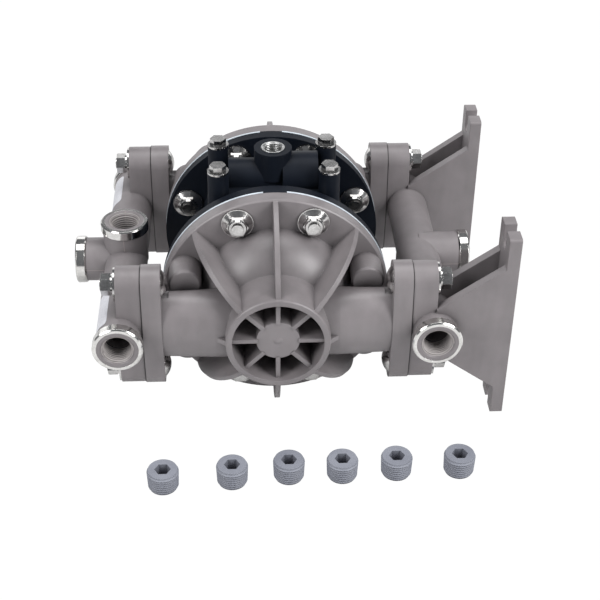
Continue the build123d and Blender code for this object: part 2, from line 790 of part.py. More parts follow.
# Centre housing with the pads for the valve block and for the exhaust cover
with BuildPart() as centre_housing:
    with Locations(face_plane("front", -dish_back)):
        Cylinder(dish_back_radius, 2 * dish_back, align=ON_BASE)
    with BuildSketch(level_plane(0)):
        Rectangle(2 * pad_half_x, 2 * dish_back)
    extrude(amount=pad_top)
    with BuildSketch(level_plane(base_bottom)):
        RectangleRounded(2 * base_half_x, 2 * base_half_y, base_corner)
    extrude(amount=-base_bottom)
    with Locations(face_plane("front", -dish_back)):
        Cylinder(shaft_clearance_radius, 2 * dish_back, align=ON_BASE, mode=Mode.SUBTRACT)
    with Locations(face_plane("front", -dish_back, (pilot_x, 0))):
        Cylinder(pilot_radius + pilot_hole_gap, 2 * dish_back, align=ON_BASE, mode=Mode.SUBTRACT)
    for side in SIDES:
        recess = bushing_length + shaft_seal_length
        with Locations(face_plane(side, dish_back - recess)):
            Cylinder(bushing_radius + fit_gap, recess, align=ON_BASE, mode=Mode.SUBTRACT)
        with Locations(face_plane(side, dish_back - pilot_bushing_length, (pilot_x, 0))):
            Cylinder(pilot_bushing_radius + fit_gap, pilot_bushing_length, align=ON_BASE, mode=Mode.SUBTRACT)
        for point in polar(air_cap_screw_circle, air_cap_screw_angles):
            with Locations(face_plane(side, dish_back - air_cap_screw_reach - overlap, point)):
                depth = air_cap_screw_reach + overlap
                Cylinder(air_cap_screw_radius + fit_gap, depth, align=ON_BASE, mode=Mode.SUBTRACT)
        # air from the valve block to this side's dish
        x = -upward(side) * outlet_port_x
        with Locations(level_plane(air_passage_z, (x, 0))):
            Cylinder(air_passage_radius, pad_top - air_passage_z, align=ON_BASE, mode=Mode.SUBTRACT)
        with Locations(face_plane(side, 0, (x, upward(side) * air_passage_z))):
            Cylinder(air_passage_radius, dish_back, align=ON_BASE, mode=Mode.SUBTRACT)
    with Locations(level_plane(base_bottom, (exhaust_port_x, 0))):
        Cylinder(air_passage_radius, pad_top - base_bottom, align=ON_BASE, mode=Mode.SUBTRACT)
    for point in post_points:
        with Locations(level_plane(pad_top - flange_bolt_reach - overlap, point)):
            depth = flange_bolt_reach + overlap
            Cylinder(flange_bolt_radius + fit_gap, depth, align=ON_BASE, mode=Mode.SUBTRACT)
    for point in cover_screw_points:
        with Locations(level_plane(base_bottom, point)):
            depth = cover_screw_reach + overlap
            Cylinder(cover_screw_radius + fit_gap, depth, align=ON_BASE, mode=Mode.SUBTRACT)
write(centre_housing, "centre_housing")

with BuildPart() as air_cap_screws:
    for side in SIDES:
        for point in polar(air_cap_screw_circle, air_cap_screw_angles):
            with Locations(face_plane(side, dish_back - air_cap_screw_reach, point)):
                shank = air_cap_screw_reach + dish_floor - air_cap_screw_sink - dish_back
                Cylinder(air_cap_screw_radius, shank, align=ON_BASE)
            with Locations(face_plane(side, dish_floor - air_cap_screw_sink, point)):
                Cylinder(air_cap_screw_head_radius, air_cap_screw_head_height, align=ON_BASE)
            head_top = dish_floor - air_cap_screw_sink + air_cap_screw_head_height
            with BuildSketch(face_plane(side, head_top, point)):
                RegularPolygon(air_cap_screw_hex_flat / 2, 6, major_radius=False)
            extrude(amount=-air_cap_screw_hex_depth, mode=Mode.SUBTRACT)
write(air_cap_screws, "air_cap_screws")

# Shaft with its plates and nuts
with BuildPart() as main_shaft:
    with Locations(face_plane("front", -inner_plate_back)):
        Cylinder(shaft_radius, 2 * inner_plate_back, align=ON_BASE)
    with Locations(face_plane("front", -shaft_end)):
        Cylinder(shaft_stub_radius, 2 * shaft_end, align=ON_BASE)
write(main_shaft, "main_shaft")

with BuildPart() as inner_plates:
    for side in SIDES:
        with BuildSketch(face_plane(side, inner_plate_back)):
            Circle(plate_radius)
            Circle(shaft_stub_radius + fit_gap, mode=Mode.SUBTRACT)
        extrude(amount=inner_plate_thickness)
write(inner_plates, "inner_plates")

with BuildPart() as outer_plates:
    for side in SIDES:
        with BuildSketch(face_plane(side, diaphragm_fluid_face)):
            Circle(outer_plate_radius)
            Circle(shaft_stub_radius + fit_gap, mode=Mode.SUBTRACT)
        extrude(amount=outer_plate_thickness)
    circles = outer_plates.edges().filter_by(GeomType.CIRCLE)
    fillet(circles.filter_by(lambda edge: edge.radius > shaft_radius), plate_edge_fillet)
write(outer_plates, "outer_plates")

with BuildPart() as plate_nuts:
    for side in SIDES:
        with BuildSketch(face_plane(side, outer_plate_front)):
            RegularPolygon(shaft_nut_flat / 2, 6, major_radius=False)
            Circle(shaft_stub_radius + fit_gap, mode=Mode.SUBTRACT)
        extrude(amount=shaft_nut_height)
write(plate_nuts, "plate_nuts")

with BuildPart() as shaft_bushings:
    for side in SIDES:
        with BuildSketch(face_plane(side, dish_back - shaft_seal_length - bushing_length)):
            Circle(bushing_radius)
            Circle(shaft_radius + fit_gap, mode=Mode.SUBTRACT)
        extrude(amount=bushing_length)
write(shaft_bushings, "shaft_bushings")

with BuildPart() as shaft_seals:
    for side in SIDES:
        with BuildSketch(face_plane(side, dish_back - shaft_seal_length)):
            Circle(bushing_radius)
            Circle(shaft_radius + fit_gap, mode=Mode.SUBTRACT)
        extrude(amount=shaft_seal_length)
write(shaft_seals, "shaft_seals")

# Pilot rod
with BuildPart() as pilot_rod:
    with Locations(face_plane("front", -dish_floor - pilot_reach, (pilot_x, 0))):
        Cylinder(pilot_radius, 2 * (dish_floor + pilot_reach), align=ON_BASE)
write(pilot_rod, "pilot_rod")

with BuildPart() as pilot_bushings:
    for side in SIDES:
        with BuildSketch(face_plane(side, dish_back - pilot_bushing_length, (pilot_x, 0))):
            Circle(pilot_bushing_radius)
            Circle(pilot_radius + fit_gap, mode=Mode.SUBTRACT)
        extrude(amount=pilot_bushing_length)
write(pilot_bushings, "pilot_bushings")

# Bolts of the disc stacks
with BuildPart() as cap_through_bolts:
    for side in SIDES:
        for point in polar(stud_circle, through_angles):
            flanged_hexagon(back_plane(side, air_cap_face, point))
            with Locations(face_plane(side, air_cap_face, point)):
                Cylinder(stud_radius, stud_end - air_cap_face, align=ON_BASE)
write(cap_through_bolts, "cap_through_bolts")

with BuildPart() as cap_blind_studs:
    for side in SIDES:
        for point in polar(stud_circle, blind_angles):
            inner_end = air_cap_face - nut_height - stud_stand_out
            with Locations(face_plane(side, inner_end, point)):
                Cylinder(stud_radius, blind_stud_end - inner_end, align=ON_BASE)
write(cap_blind_studs, "cap_blind_studs")

# A nut sits in front of each through bolt, and behind each blind stud
with BuildPart() as cap_nuts:
    for side in SIDES:
        nut_places = [face_plane(side, cap_front, point) for point in polar(stud_circle, through_angles)]
        nut_places += [back_plane(side, air_cap_face, point) for point in polar(stud_circle, blind_angles)]
        for place in nut_places:
            flanged_hexagon(place)
            with Locations(place):
                Cylinder(stud_radius + fit_gap, nut_height, align=ON_BASE, mode=Mode.SUBTRACT)
write(cap_nuts, "cap_nuts")

# Bolts of the fluid joints
spring_washer_x = flange_outer_x + washer_thickness
nut_foot_x = spring_washer_x + spring_washer_thickness
with BuildPart() as joint_bolts:
    for side in SIDES:
        for end in ENDS.values():
            for point in joint_bolt_points:
                head = duct_plane(side, end, flange_inner_x, point)
                with Locations(head):
                    length = nut_foot_x + plain_nut_height + plain_bolt_stand_out - flange_inner_x
                    Cylinder(stud_radius, length, align=ON_BASE)
                domed_head(Plane(origin=head.origin, x_dir=head.x_dir, z_dir=-head.z_dir))
write(joint_bolts, "joint_bolts")

with BuildPart() as joint_washers:
    for side in SIDES:
        for end in ENDS.values():
            for point in joint_bolt_points:
                with BuildSketch(duct_plane(side, end, flange_outer_x, point)):
                    Circle(washer_radius)
                    Circle(stud_radius + bolt_gap, mode=Mode.SUBTRACT)
                extrude(amount=washer_thickness)
write(joint_washers, "joint_washers")

with BuildPart() as joint_spring_washers:
    for side in SIDES:
        for end in ENDS.values():
            for point in joint_bolt_points:
                with BuildSketch(duct_plane(side, end, spring_washer_x, point)):
                    Circle(spring_washer_radius)
                    Circle(stud_radius + bolt_gap, mode=Mode.SUBTRACT)
                    with Locations((spring_washer_radius / 2, 0)):
                        Rectangle(spring_washer_radius + overlap, spring_washer_split, mode=Mode.SUBTRACT)
                extrude(amount=spring_washer_thickness)
write(joint_spring_washers, "joint_spring_washers")

with BuildPart() as joint_nuts:
    for side in SIDES:
        for end in ENDS.values():
            for point in joint_bolt_points:
                with BuildSketch(duct_plane(side, end, nut_foot_x, point)):
                    RegularPolygon(nut_flat / 2, 6, major_radius=False)
                    Circle(stud_radius + fit_gap, mode=Mode.SUBTRACT)
                extrude(amount=plain_nut_height)
write(joint_nuts, "joint_nuts")

# Air valve block
with BuildPart() as valve_block_gasket:
    with BuildSketch(level_plane(pad_top)):
        with Locations(*post_points):
            Circle(post_radius)
        make_hull()
        with Locations(*post_points):
            Circle(flange_bolt_radius + bolt_gap, mode=Mode.SUBTRACT)
        with Locations((outlet_port_x, 0), (-outlet_port_x, 0), (exhaust_port_x, 0)):
            Circle(air_passage_radius, mode=Mode.SUBTRACT)
    extrude(amount=gasket_thickness)
write(valve_block_gasket, "valve_block_gasket")

with BuildPart() as valve_block:
    with Locations(valve_plane(valve_body_step_x)):
        Cylinder(valve_body_radius_large, valve_body_end_x - valve_body_step_x, align=ON_BASE)
    with Locations(valve_plane(-valve_body_end_x)):
        Cylinder(valve_body_radius_small, valve_body_end_x + valve_body_step_x, align=ON_BASE)
    with BuildSketch(level_plane(gasket_top - 2 * valve_body_radius_large)):
        Rectangle(4 * post_x, 4 * post_x)
    extrude(amount=2 * valve_body_radius_large, mode=Mode.SUBTRACT)
    with BuildSketch(level_plane(gasket_top)):
        with Locations(*post_points):
            Circle(post_radius)
        make_hull()
    extrude(amount=block_base_thickness)
    for point in post_points:
        with Locations(level_plane(gasket_top, point)):
            Cylinder(post_radius, post_top - gasket_top, align=ON_BASE)
    with BuildSketch(level_plane(gasket_top)):
        Rectangle(2 * valve_body_end_x, 2 * valve_body_radius_small)
    extrude(amount=valve_axis_z - gasket_top)
    with Locations(level_plane(valve_axis_z)):
        Cylinder(inlet_boss_radius, inlet_boss_top - valve_axis_z, align=ON_BASE)
    with Locations(valve_plane(-valve_body_end_x)):
        Cylinder(sleeve_radius + fit_gap, 2 * valve_body_end_x, align=ON_BASE, mode=Mode.SUBTRACT)
    with Locations(level_plane(inlet_boss_top - insert_length)):
        Cylinder(insert_radius + fit_gap, insert_length, align=ON_BASE, mode=Mode.SUBTRACT)
    with Locations(level_plane(valve_axis_z)):
        Cylinder(supply_port_radius, inlet_boss_top - valve_axis_z, align=ON_BASE, mode=Mode.SUBTRACT)
    for x in (outlet_port_x, -outlet_port_x, exhaust_port_x):
        with Locations(level_plane(gasket_top, (x, 0))):
            Cylinder(air_passage_radius, valve_axis_z - gasket_top, align=ON_BASE, mode=Mode.SUBTRACT)
    for point in post_points:
        with Locations(level_plane(gasket_top, point)):
            hole = flange_bolt_radius + bolt_gap
            Cylinder(hole, post_top - gasket_top, align=ON_BASE, mode=Mode.SUBTRACT)
write(valve_block, "valve_block")

with BuildPart() as air_inlet_insert:
    with Locations(level_plane(inlet_boss_top - insert_length + seat_gap)):
        Cylinder(insert_radius, insert_length + insert_lip, align=ON_BASE)
        Cylinder(insert_bore, insert_length + insert_lip, align=ON_BASE, mode=Mode.SUBTRACT)
    with Locations(level_plane(inlet_boss_top + insert_lip + seat_gap - insert_chamfer)):
        Cone(insert_bore, insert_bore + insert_chamfer, insert_chamfer, align=ON_BASE, mode=Mode.SUBTRACT)
write(air_inlet_insert, "air_inlet_insert")

with BuildPart() as valve_sleeve:
    with BuildSketch(valve_plane(-sleeve_half_length)):
        Circle(sleeve_radius)
        Circle(sleeve_bore, mode=Mode.SUBTRACT)
    extrude(amount=2 * sleeve_half_length)
    with Locations(level_plane(valve_axis_z)):
        Cylinder(supply_port_radius, sleeve_radius + overlap, align=ON_BASE, mode=Mode.SUBTRACT)
    for x in (outlet_port_x, -outlet_port_x, exhaust_port_x, -exhaust_port_x):
        with Locations(level_plane(valve_axis_z - sleeve_radius - overlap, (x, 0))):
            Cylinder(air_passage_radius, sleeve_radius + overlap, align=ON_BASE, mode=Mode.SUBTRACT)
write(valve_sleeve, "valve_sleeve")

with BuildPart() as valve_spool:
    with Locations(valve_plane(-spool_half_length)):
        Cylinder(spool_neck_radius, 2 * spool_half_length, align=ON_BASE)
    for x in (-spool_half_length, spool_half_length - spool_end_land):
        with Locations(valve_plane(x)):
            Cylinder(sleeve_bore - fit_gap, spool_end_land, align=ON_BASE)
    for x in (-outlet_port_x - spool_land_half, outlet_port_x - spool_land_half):
        with Locations(valve_plane(x)):
            Cylinder(sleeve_bore - fit_gap, 2 * spool_land_half, align=ON_BASE)
write(valve_spool, "valve_spool")

with BuildPart() as valve_end_plugs:
    for end in ENDS.values():
        face = Plane(origin=valve_plane(end * valve_body_end_x).origin, x_dir=(0, 1, 0), z_dir=(end, 0, 0))
        with BuildSketch(face):
            Circle(sleeve_radius)
        extrude(amount=sleeve_half_length - valve_body_end_x)
        with BuildSketch(face):
            RegularPolygon(end_plug_hex_flat / 2, 6, major_radius=False)
        extrude(amount=-end_plug_hex_depth, mode=Mode.SUBTRACT)
write(valve_end_plugs, "valve_end_plugs")

with BuildPart() as valve_block_bolts:
    for point in post_points:
        with Locations(level_plane(pad_top - flange_bolt_reach, point)):
            Cylinder(flange_bolt_radius, post_top - pad_top + flange_bolt_reach, align=ON_BASE)
        with Locations(level_plane(post_top, point)):
            Cylinder(flange_bolt_flange_radius, flange_bolt_flange_thickness, align=ON_BASE)
        with BuildSketch(level_plane(post_top, point)):
            RegularPolygon(flange_bolt_flat / 2, 6, major_radius=False)
        extrude(amount=flange_bolt_head)
write(valve_block_bolts, "valve_block_bolts")

# Exhaust cover and muffler
muffler_origin = (-base_half_x, 0, axis_height + muffler_height)
muffler_mouth = Plane(origin=muffler_origin, x_dir=(0, 1, 0), z_dir=(-1, 0, 0))
with BuildPart() as exhaust_gasket:
    with BuildSketch(level_plane(cover_top)):
        RectangleRounded(2 * base_half_x, 2 * base_half_y, base_corner)
        with Locations(*cover_screw_points):
            Circle(cover_screw_radius + bolt_gap, mode=Mode.SUBTRACT)
        with Locations((exhaust_port_x, 0)):
            Circle(air_passage_radius, mode=Mode.SUBTRACT)
    extrude(amount=gasket_thickness)
write(exhaust_gasket, "exhaust_gasket")

with BuildPart() as exhaust_cover:
    with BuildSketch(level_plane(-axis_height)):
        RectangleRounded(2 * base_half_x, 2 * base_half_y, base_corner)
    extrude(amount=axis_height + cover_top)
    with BuildSketch(level_plane(cover_floor - axis_height)):
        RectangleRounded(2 * cover_cavity_half_x, 2 * cover_cavity_half_y, base_corner)
    extrude(amount=axis_height + cover_top - cover_floor, mode=Mode.SUBTRACT)
    hole = cover_screw_radius + bolt_gap
    head_hole = cover_screw_head_radius + bolt_gap
    for point in cover_screw_points:
        with Locations(level_plane(-axis_height, point)):
            Cylinder(hole, axis_height + cover_top, align=ON_BASE, mode=Mode.SUBTRACT)
            Cylinder(head_hole, cover_screw_sink, align=ON_BASE, mode=Mode.SUBTRACT)
    with Locations(muffler_mouth.offset(-base_half_x)):
        Cylinder(muffler_stub_radius + fit_gap, base_half_x, align=ON_BASE, mode=Mode.SUBTRACT)
write(exhaust_cover, "exhaust_cover")

with BuildPart() as exhaust_cover_screws:
    for point in cover_screw_points:
        with Locations(level_plane(cover_screw_sink - cover_screw_head_height - axis_height, point)):
            Cylinder(cover_screw_head_radius, cover_screw_head_height, align=ON_BASE)
        with Locations(level_plane(cover_screw_sink - axis_height, point)):
            shank = base_bottom + cover_screw_reach + axis_height - cover_screw_sink
            Cylinder(cover_screw_radius, shank, align=ON_BASE)
        with BuildSketch(level_plane(cover_screw_sink - cover_screw_head_height - axis_height, point)):
            RegularPolygon(cover_screw_hex_flat / 2, 6, major_radius=False)
        extrude(amount=cover_screw_head_height / 2, mode=Mode.SUBTRACT)
write(exhaust_cover_screws, "exhaust_cover_screws")

with BuildPart() as exhaust_muffler:
    with Locations(muffler_mouth):
        Cylinder(muffler_radius, muffler_length, align=ON_BASE)
    bore_depth = muffler_stub_length + muffler_length - muffler_bore
    with Locations(muffler_mouth.offset(-muffler_stub_length)):
        Cylinder(muffler_stub_radius, muffler_stub_length, align=ON_BASE)
        Cylinder(muffler_bore, bore_depth, align=ON_BASE, mode=Mode.SUBTRACT)
    for index in range(muffler_groove_count):
        with BuildSketch(muffler_mouth.offset(muffler_groove_pitch * (index + 1))):
            Circle(muffler_radius + overlap)
            Circle(muffler_radius - muffler_groove_depth, mode=Mode.SUBTRACT)
        extrude(amount=muffler_groove_width, mode=Mode.SUBTRACT)
write(exhaust_muffler, "exhaust_muffler")

# Loose plugs for the ports that aren't in use
with BuildPart() as blanking_plugs:
    for place in plug_places:
        with BuildSketch(Plane(origin=(place[0], place[1], 0), x_dir=(1, 0, 0), z_dir=(0, -1, 0))):
            thread_base = (plug_height - plug_thread_count * plug_pitch) / 2
            lower = plug_radius - plug_taper
            outline = [(0, 0), (lower - plug_thread_depth, 0)]
            for index in range(plug_thread_count):
                bottom = thread_base + index * plug_pitch
                crest = lower + plug_taper * (index + 0.5) / plug_thread_count
                outline.append((crest - plug_thread_depth, bottom))
                outline.append((crest, bottom + plug_pitch * (1 - plug_crest_width) / 2))
                outline.append((crest, bottom + plug_pitch * (1 + plug_crest_width) / 2))
            outline.append((plug_radius - plug_thread_depth, thread_base + plug_thread_count * plug_pitch))
            outline.append((plug_radius - plug_thread_depth, plug_height))
            outline.append((0, plug_height))
            with BuildLine():
                Polyline(*outline, close=True)
            make_face()
        revolve(axis=Axis((place[0], place[1], 0), (0, 0, 1)))
        with BuildSketch(Plane(origin=(place[0], place[1], plug_height), x_dir=(1, 0, 0), z_dir=(0, 0, 1))):
            RegularPolygon(plug_hex_flat / 2, 6, major_radius=False)
        extrude(amount=-plug_hex_depth, mode=Mode.SUBTRACT)
write(blanking_plugs, "blanking_plugs")
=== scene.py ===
"""Looks of an air operated diaphragm pump, lying on its back with its loose plugs in front of it.

Every size is in metres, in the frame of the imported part: X runs from the outlet manifold to the
feet, Y is the axis of the diaphragm shaft and Z is up from the floor.
"""

import json
import math

import bmesh
import bpy
from mathutils import Matrix, Vector


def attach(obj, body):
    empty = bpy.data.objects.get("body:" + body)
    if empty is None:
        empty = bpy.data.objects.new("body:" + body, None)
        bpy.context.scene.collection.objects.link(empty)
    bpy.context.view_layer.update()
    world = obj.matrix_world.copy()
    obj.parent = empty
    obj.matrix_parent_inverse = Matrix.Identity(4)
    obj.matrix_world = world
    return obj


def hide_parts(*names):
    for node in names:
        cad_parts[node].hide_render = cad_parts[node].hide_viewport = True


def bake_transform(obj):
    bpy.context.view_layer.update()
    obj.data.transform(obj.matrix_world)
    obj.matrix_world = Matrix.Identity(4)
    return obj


MM = 0.001
BODY = "pump_body"

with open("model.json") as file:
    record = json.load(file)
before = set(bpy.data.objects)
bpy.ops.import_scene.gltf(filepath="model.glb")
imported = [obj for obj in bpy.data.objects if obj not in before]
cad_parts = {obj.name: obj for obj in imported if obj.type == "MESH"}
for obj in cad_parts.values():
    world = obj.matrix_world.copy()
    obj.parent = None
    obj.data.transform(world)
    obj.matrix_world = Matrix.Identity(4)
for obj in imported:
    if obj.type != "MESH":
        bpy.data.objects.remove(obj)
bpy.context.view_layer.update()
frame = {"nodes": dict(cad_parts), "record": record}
mounts = {mount["name"]: mount for mount in frame["record"]["mounts"]}

# Sizes that the finishes and the added pieces follow
AXIS_HEIGHT = 86 * MM  # shaft axis, and the middle of both manifolds
PUMP_MIDDLE = (0, 0, AXIS_HEIGHT)
JOINT_X = 91.2 * MM  # joint face between a fluid cap and a manifold
PIPE_X = 107.3 * MM  # axis of a manifold's pipe
PIPE_RADIUS = 15.25 * MM

# Thin lines on the plastic, full up to the first distance from their middle and gone at the second
JOINT_SHADOW_WIDTH = (0.15 * MM, 0.55 * MM)
PARTING_LINE = (0.10 * MM, 0.35 * MM)
BRANCH_END = (16 * MM, 17 * MM)  # where the parting lines fade out, along Y from the middle of the pump
PIPE_FADE = 1 * MM  # how far the upright ones take to fade in above and below the pipe
# Painted shadow in the gap at each joint between a fluid cap and a manifold
JOINT_SHADOW_COLOUR = (0.02, 0.018, 0.018)
# Painted highlight along the parting lines, which are also raised in the relief
PARTING_HIGHLIGHT_COLOUR = (0.42, 0.36, 0.34)
PARTING_HIGHLIGHT_SHARE = 0.55  # of its colour in the line
PARTING_HEIGHT = 4.0  # of the line, in heights of the grain

# Sizes of the finishes
# Painted shade: ambient occlusion darkens the colour in corners and hollows, within the reaches below
TRACED_RAYS = 6  # of a bevel or a crevice, for each sample
OPEN_SHADE = 0.25  # shade by faces nearby that doesn't count as a crevice yet
MOULDED_GRAIN = 0.03 * MM
MOULDED_PAINTED_SHADE_REACH = 9 * MM
METAL_GRAIN = 0.002 * MM
METAL_PAINTED_SHADE_REACH = 1.6 * MM
METAL_PAINTED_SHADE_COLOUR = (0.04, 0.04, 0.045)


class Value:
    """A number in a node tree, which can be added, multiplied and so on."""

    def __init__(self, nodes, socket):
        self.nodes = nodes
        self.socket = socket

    def calculate(self, operation, first, second):
        return self.nodes.add("ShaderNodeMath", {"operation": operation}, {0: first, 1: second}).number(0)

    def __add__(self, other):
        return self.calculate("ADD", self, other)

    def __radd__(self, other):
        return self.calculate("ADD", other, self)

    def __sub__(self, other):
        return self.calculate("SUBTRACT", self, other)

    def __rsub__(self, other):
        return self.calculate("SUBTRACT", other, self)

    def __mul__(self, other):
        return self.calculate("MULTIPLY", self, other)

    def __rmul__(self, other):
        return self.calculate("MULTIPLY", other, self)

    def __truediv__(self, other):
        return self.calculate("DIVIDE", self, other)

    def __neg__(self):
        return self.calculate("MULTIPLY", self, -1.0)

    def __abs__(self):
        return self.calculate("ABSOLUTE", self, 0.0)

    def or_more(self, other):
        """The greater of this and another."""
        return self.calculate("MAXIMUM", self, other)

    def between(self, low, high):
        """0 below low, 1 above high and smooth between them."""
        settings = {"interpolation_type": "SMOOTHSTEP"}
        sockets = {"Value": self, "From Min": low, "From Max": high}
        return self.nodes.add("ShaderNodeMapRange", settings, sockets).number("Result")


class Made:
    """A node that is in place."""

    def __init__(self, nodes, node):
        self.nodes = nodes
        self.node = node

    def number(self, output):
        return Value(self.nodes, self.node.outputs[output])

    def out(self, output):
        return self.node.outputs[output]


class Nodes:
    """A node tree that is being built."""

    def __init__(self, tree):
        self.tree = tree

    def connect(self, node, sockets):
        """Gives sockets of a node their values or links."""
        for name, given in sockets.items():
            if isinstance(given, Value):
                self.tree.links.new(given.socket, node.inputs[name])
            elif isinstance(given, bpy.types.NodeSocket):
                self.tree.links.new(given, node.inputs[name])
            else:
                node.inputs[name].default_value = given

    def add(self, kind, settings=None, sockets=None):
        """Adds a node of a kind, with its settings and then the values or links of its sockets."""
        node = self.tree.nodes.new(kind)
        for name, given in (settings or {}).items():
            setattr(node, name, given)
        self.connect(node, sockets or {})
        return Made(self, node)


class Finish(Nodes):
    """A material that is being built."""

    def __init__(self, name):
        self.material = bpy.data.materials.new(name)
        self.material.use_nodes = True
        super().__init__(self.material.node_tree)
        self.surface = self.tree.nodes["Principled BSDF"]
        self.place = self.add("ShaderNodeTexCoord").out("Object")

    def noise(self, scale, detail=2.0, stretch=(1, 1, 1), roughness=0.5):
        """Cloudy noise, with scale patches to the metre."""
        mapping = self.add("ShaderNodeMapping", {}, {"Vector": self.place, "Scale": stretch})
        sockets = {"Vector": mapping.out("Vector"), "Scale": scale, "Detail": detail, "Roughness": roughness}
        return self.add("ShaderNodeTexNoise", {}, sockets).number("Fac")

    def painted_shade(self, distance, full):
        """Mask of painted shade: 0 on open faces, rising to 1 in corners and hollows that nearby faces shade.
        Full is the extra shade that gives 1.
        """
        settings = {"samples": TRACED_RAYS}
        shade = 1 - self.add("ShaderNodeAmbientOcclusion", settings, {"Distance": distance}).number("AO")
        return (shade - OPEN_SHADE).between(0.0, full)

    def coordinates(self):
        """X, Y and Z of the place on the surface."""
        split = self.add("ShaderNodeSeparateXYZ", {}, {"Vector": self.place})
        return [split.number(axis) for axis in "XYZ"]

    def blend(self, share, first, second):
        """Colour between two colours, each a tuple or the result of another blend."""
        first, second = ((*c, 1) if isinstance(c, tuple) else c for c in (first, second))
        sockets = {"Factor": share, 6: first, 7: second}
        return self.add("ShaderNodeMix", {"data_type": "RGBA"}, sockets).out(2)

    def set(self, sockets):
        """Gives sockets of the surface their values or links."""
        self.connect(self.surface, sockets)

    def relief(self, height, distance, edge=0.0):
        """Fine relief on the surface, and edges that are rounded over the given radius."""
        sockets = {"Height": height, "Distance": distance}
        if edge:
            bevel = self.add("ShaderNodeBevel", {"samples": TRACED_RAYS}, {"Radius": edge})
            sockets["Normal"] = bevel.out("Normal")
        self.set({"Normal": self.add("ShaderNodeBump", {}, sockets).out("Normal")})


def joint_shadow_line(finish):
    """1 on the thin line of painted shadow in the gap where a fluid cap and a manifold meet."""
    x = finish.coordinates()[0]
    return 1 - abs(abs(x) - JOINT_X).between(*JOINT_SHADOW_WIDTH)


def parting_line(finish):
    """1 on the thin lines where the parts of a manifold's mould met, on the branches in its middle."""
    x, y, z = finish.coordinates()
    branches = 1 - abs(y).between(*BRANCH_END)
    level = 1 - abs(z - AXIS_HEIGHT).between(*PARTING_LINE)
    upright = 1 - abs(abs(x) - PIPE_X).between(*PARTING_LINE)
    clear_of_pipe = abs(z - AXIS_HEIGHT).between(PIPE_RADIUS, PIPE_RADIUS + PIPE_FADE)
    return branches * level.or_more(upright * clear_of_pipe)


def moulded_plastic(name, dark, light, painted_shade, *, roughness, edge, shine=0.5, parting=False, joint=False):
    """Filled thermoplastic with a cloudy tone, grain, flow marks and painted shade in hollows, perhaps with
    parting lines that carry a painted highlight and joint lines of painted shadow.
    """
    finish = Finish(name)
    cloud = finish.noise(38, detail=4)
    flow = finish.noise(90, detail=3, stretch=(1, 1, 0.25))
    fine = finish.noise(2600, detail=2)
    tone = (0.6 * cloud + 0.4 * flow).between(0.3, 0.7)
    colour = finish.blend(tone, dark, light)
    # painted shade: darker colour in corners and hollows, where nearby faces shade the surface
    colour = finish.blend(finish.painted_shade(MOULDED_PAINTED_SHADE_REACH, 0.6), colour, painted_shade)
    height = fine * 0.5 + 0.5 * finish.noise(700, detail=2)
    if parting:
        seam = parting_line(finish)
        # painted highlight along the parting line; the line is also raised in the relief below
        colour = finish.blend(PARTING_HIGHLIGHT_SHARE * seam, colour, PARTING_HIGHLIGHT_COLOUR)
        height = height + PARTING_HEIGHT * seam
    if joint:
        # painted shadow: a dark line in the gap at the joint
        colour = finish.blend(joint_shadow_line(finish), colour, JOINT_SHADOW_COLOUR)
    finish.set({"Base Color": colour, "Roughness": roughness + 0.12 * cloud + 0.05 * fine})
    finish.set({"Specular IOR Level": shine})
    finish.relief(height, MOULDED_GRAIN, edge)
    return finish.material


def metal(name, dark, light, *, roughness, edge, stretch=(1, 1, 1)):
    """Bright metal with a drawn or turned grain, with painted shade where parts meet."""
    finish = Finish(name)
    grain = finish.noise(900, detail=3, stretch=stretch)
    smear = finish.noise(130, detail=3)
    colour = finish.blend((0.5 * grain + 0.5 * smear).between(0.35, 0.65), dark, light)
    # painted shade: darker colour in the hollows where parts meet
    colour = finish.blend(finish.painted_shade(METAL_PAINTED_SHADE_REACH, 0.5), colour, METAL_PAINTED_SHADE_COLOUR)
    finish.set({"Base Color": colour, "Metallic": 1.0, "Roughness": roughness + 0.08 * smear})
    finish.relief(grain, METAL_GRAIN, edge)
    return finish.material


def rubber(name, dark, light, *, roughness):
    """Matt elastomer or fluoropolymer with a faint bloom."""
    finish = Finish(name)
    bloom = finish.noise(150, detail=4)
    fine = finish.noise(3000)
    colour = finish.blend(bloom.between(0.3, 0.7), dark, light)
    finish.set({"Base Color": colour, "Roughness": roughness + 0.1 * bloom})
    finish.relief(fine, 0.03 * MM, edge=0.15 * MM)
    return finish.material


def sintered(name):
    """Rough pressed bronze powder."""
    finish = Finish(name)
    grains = finish.noise(2200, detail=4, roughness=0.7)
    colour = finish.blend(grains.between(0.3, 0.7), (0.22, 0.13, 0.05), (0.52, 0.35, 0.16))
    finish.set({"Base Color": colour, "Metallic": 1.0, "Roughness": 0.45 + 0.3 * grains})
    finish.relief(grains, 0.25 * MM, edge=0.2 * MM)
    return finish.material


def paper(name):
    """Plain white sticker."""
    finish = Finish(name)
    fibre = finish.noise(600, detail=3)
    colour = finish.blend(fibre.between(0.3, 0.7), (0.60, 0.60, 0.64), (0.70, 0.70, 0.74))
    finish.set({"Base Color": colour, "Roughness": 0.42 + 0.15 * fibre})
    finish.relief(fibre, 0.02 * MM)
    return finish.material


# Dark and light colour of each moulded plastic, then the colour of its painted shade in corners and hollows
GREY = ((0.184, 0.168, 0.173), (0.234, 0.214, 0.220), (0.057, 0.052, 0.054))
THREAD_GREY = ((0.40, 0.37, 0.365), (0.46, 0.43, 0.42), (0.20, 0.185, 0.18))
BLACK = ((0.004, 0.006, 0.011), (0.008, 0.011, 0.018), (0.001, 0.002, 0.003))
COOL_GREY = ((0.205, 0.215, 0.255), (0.260, 0.272, 0.315), (0.08, 0.08, 0.10))

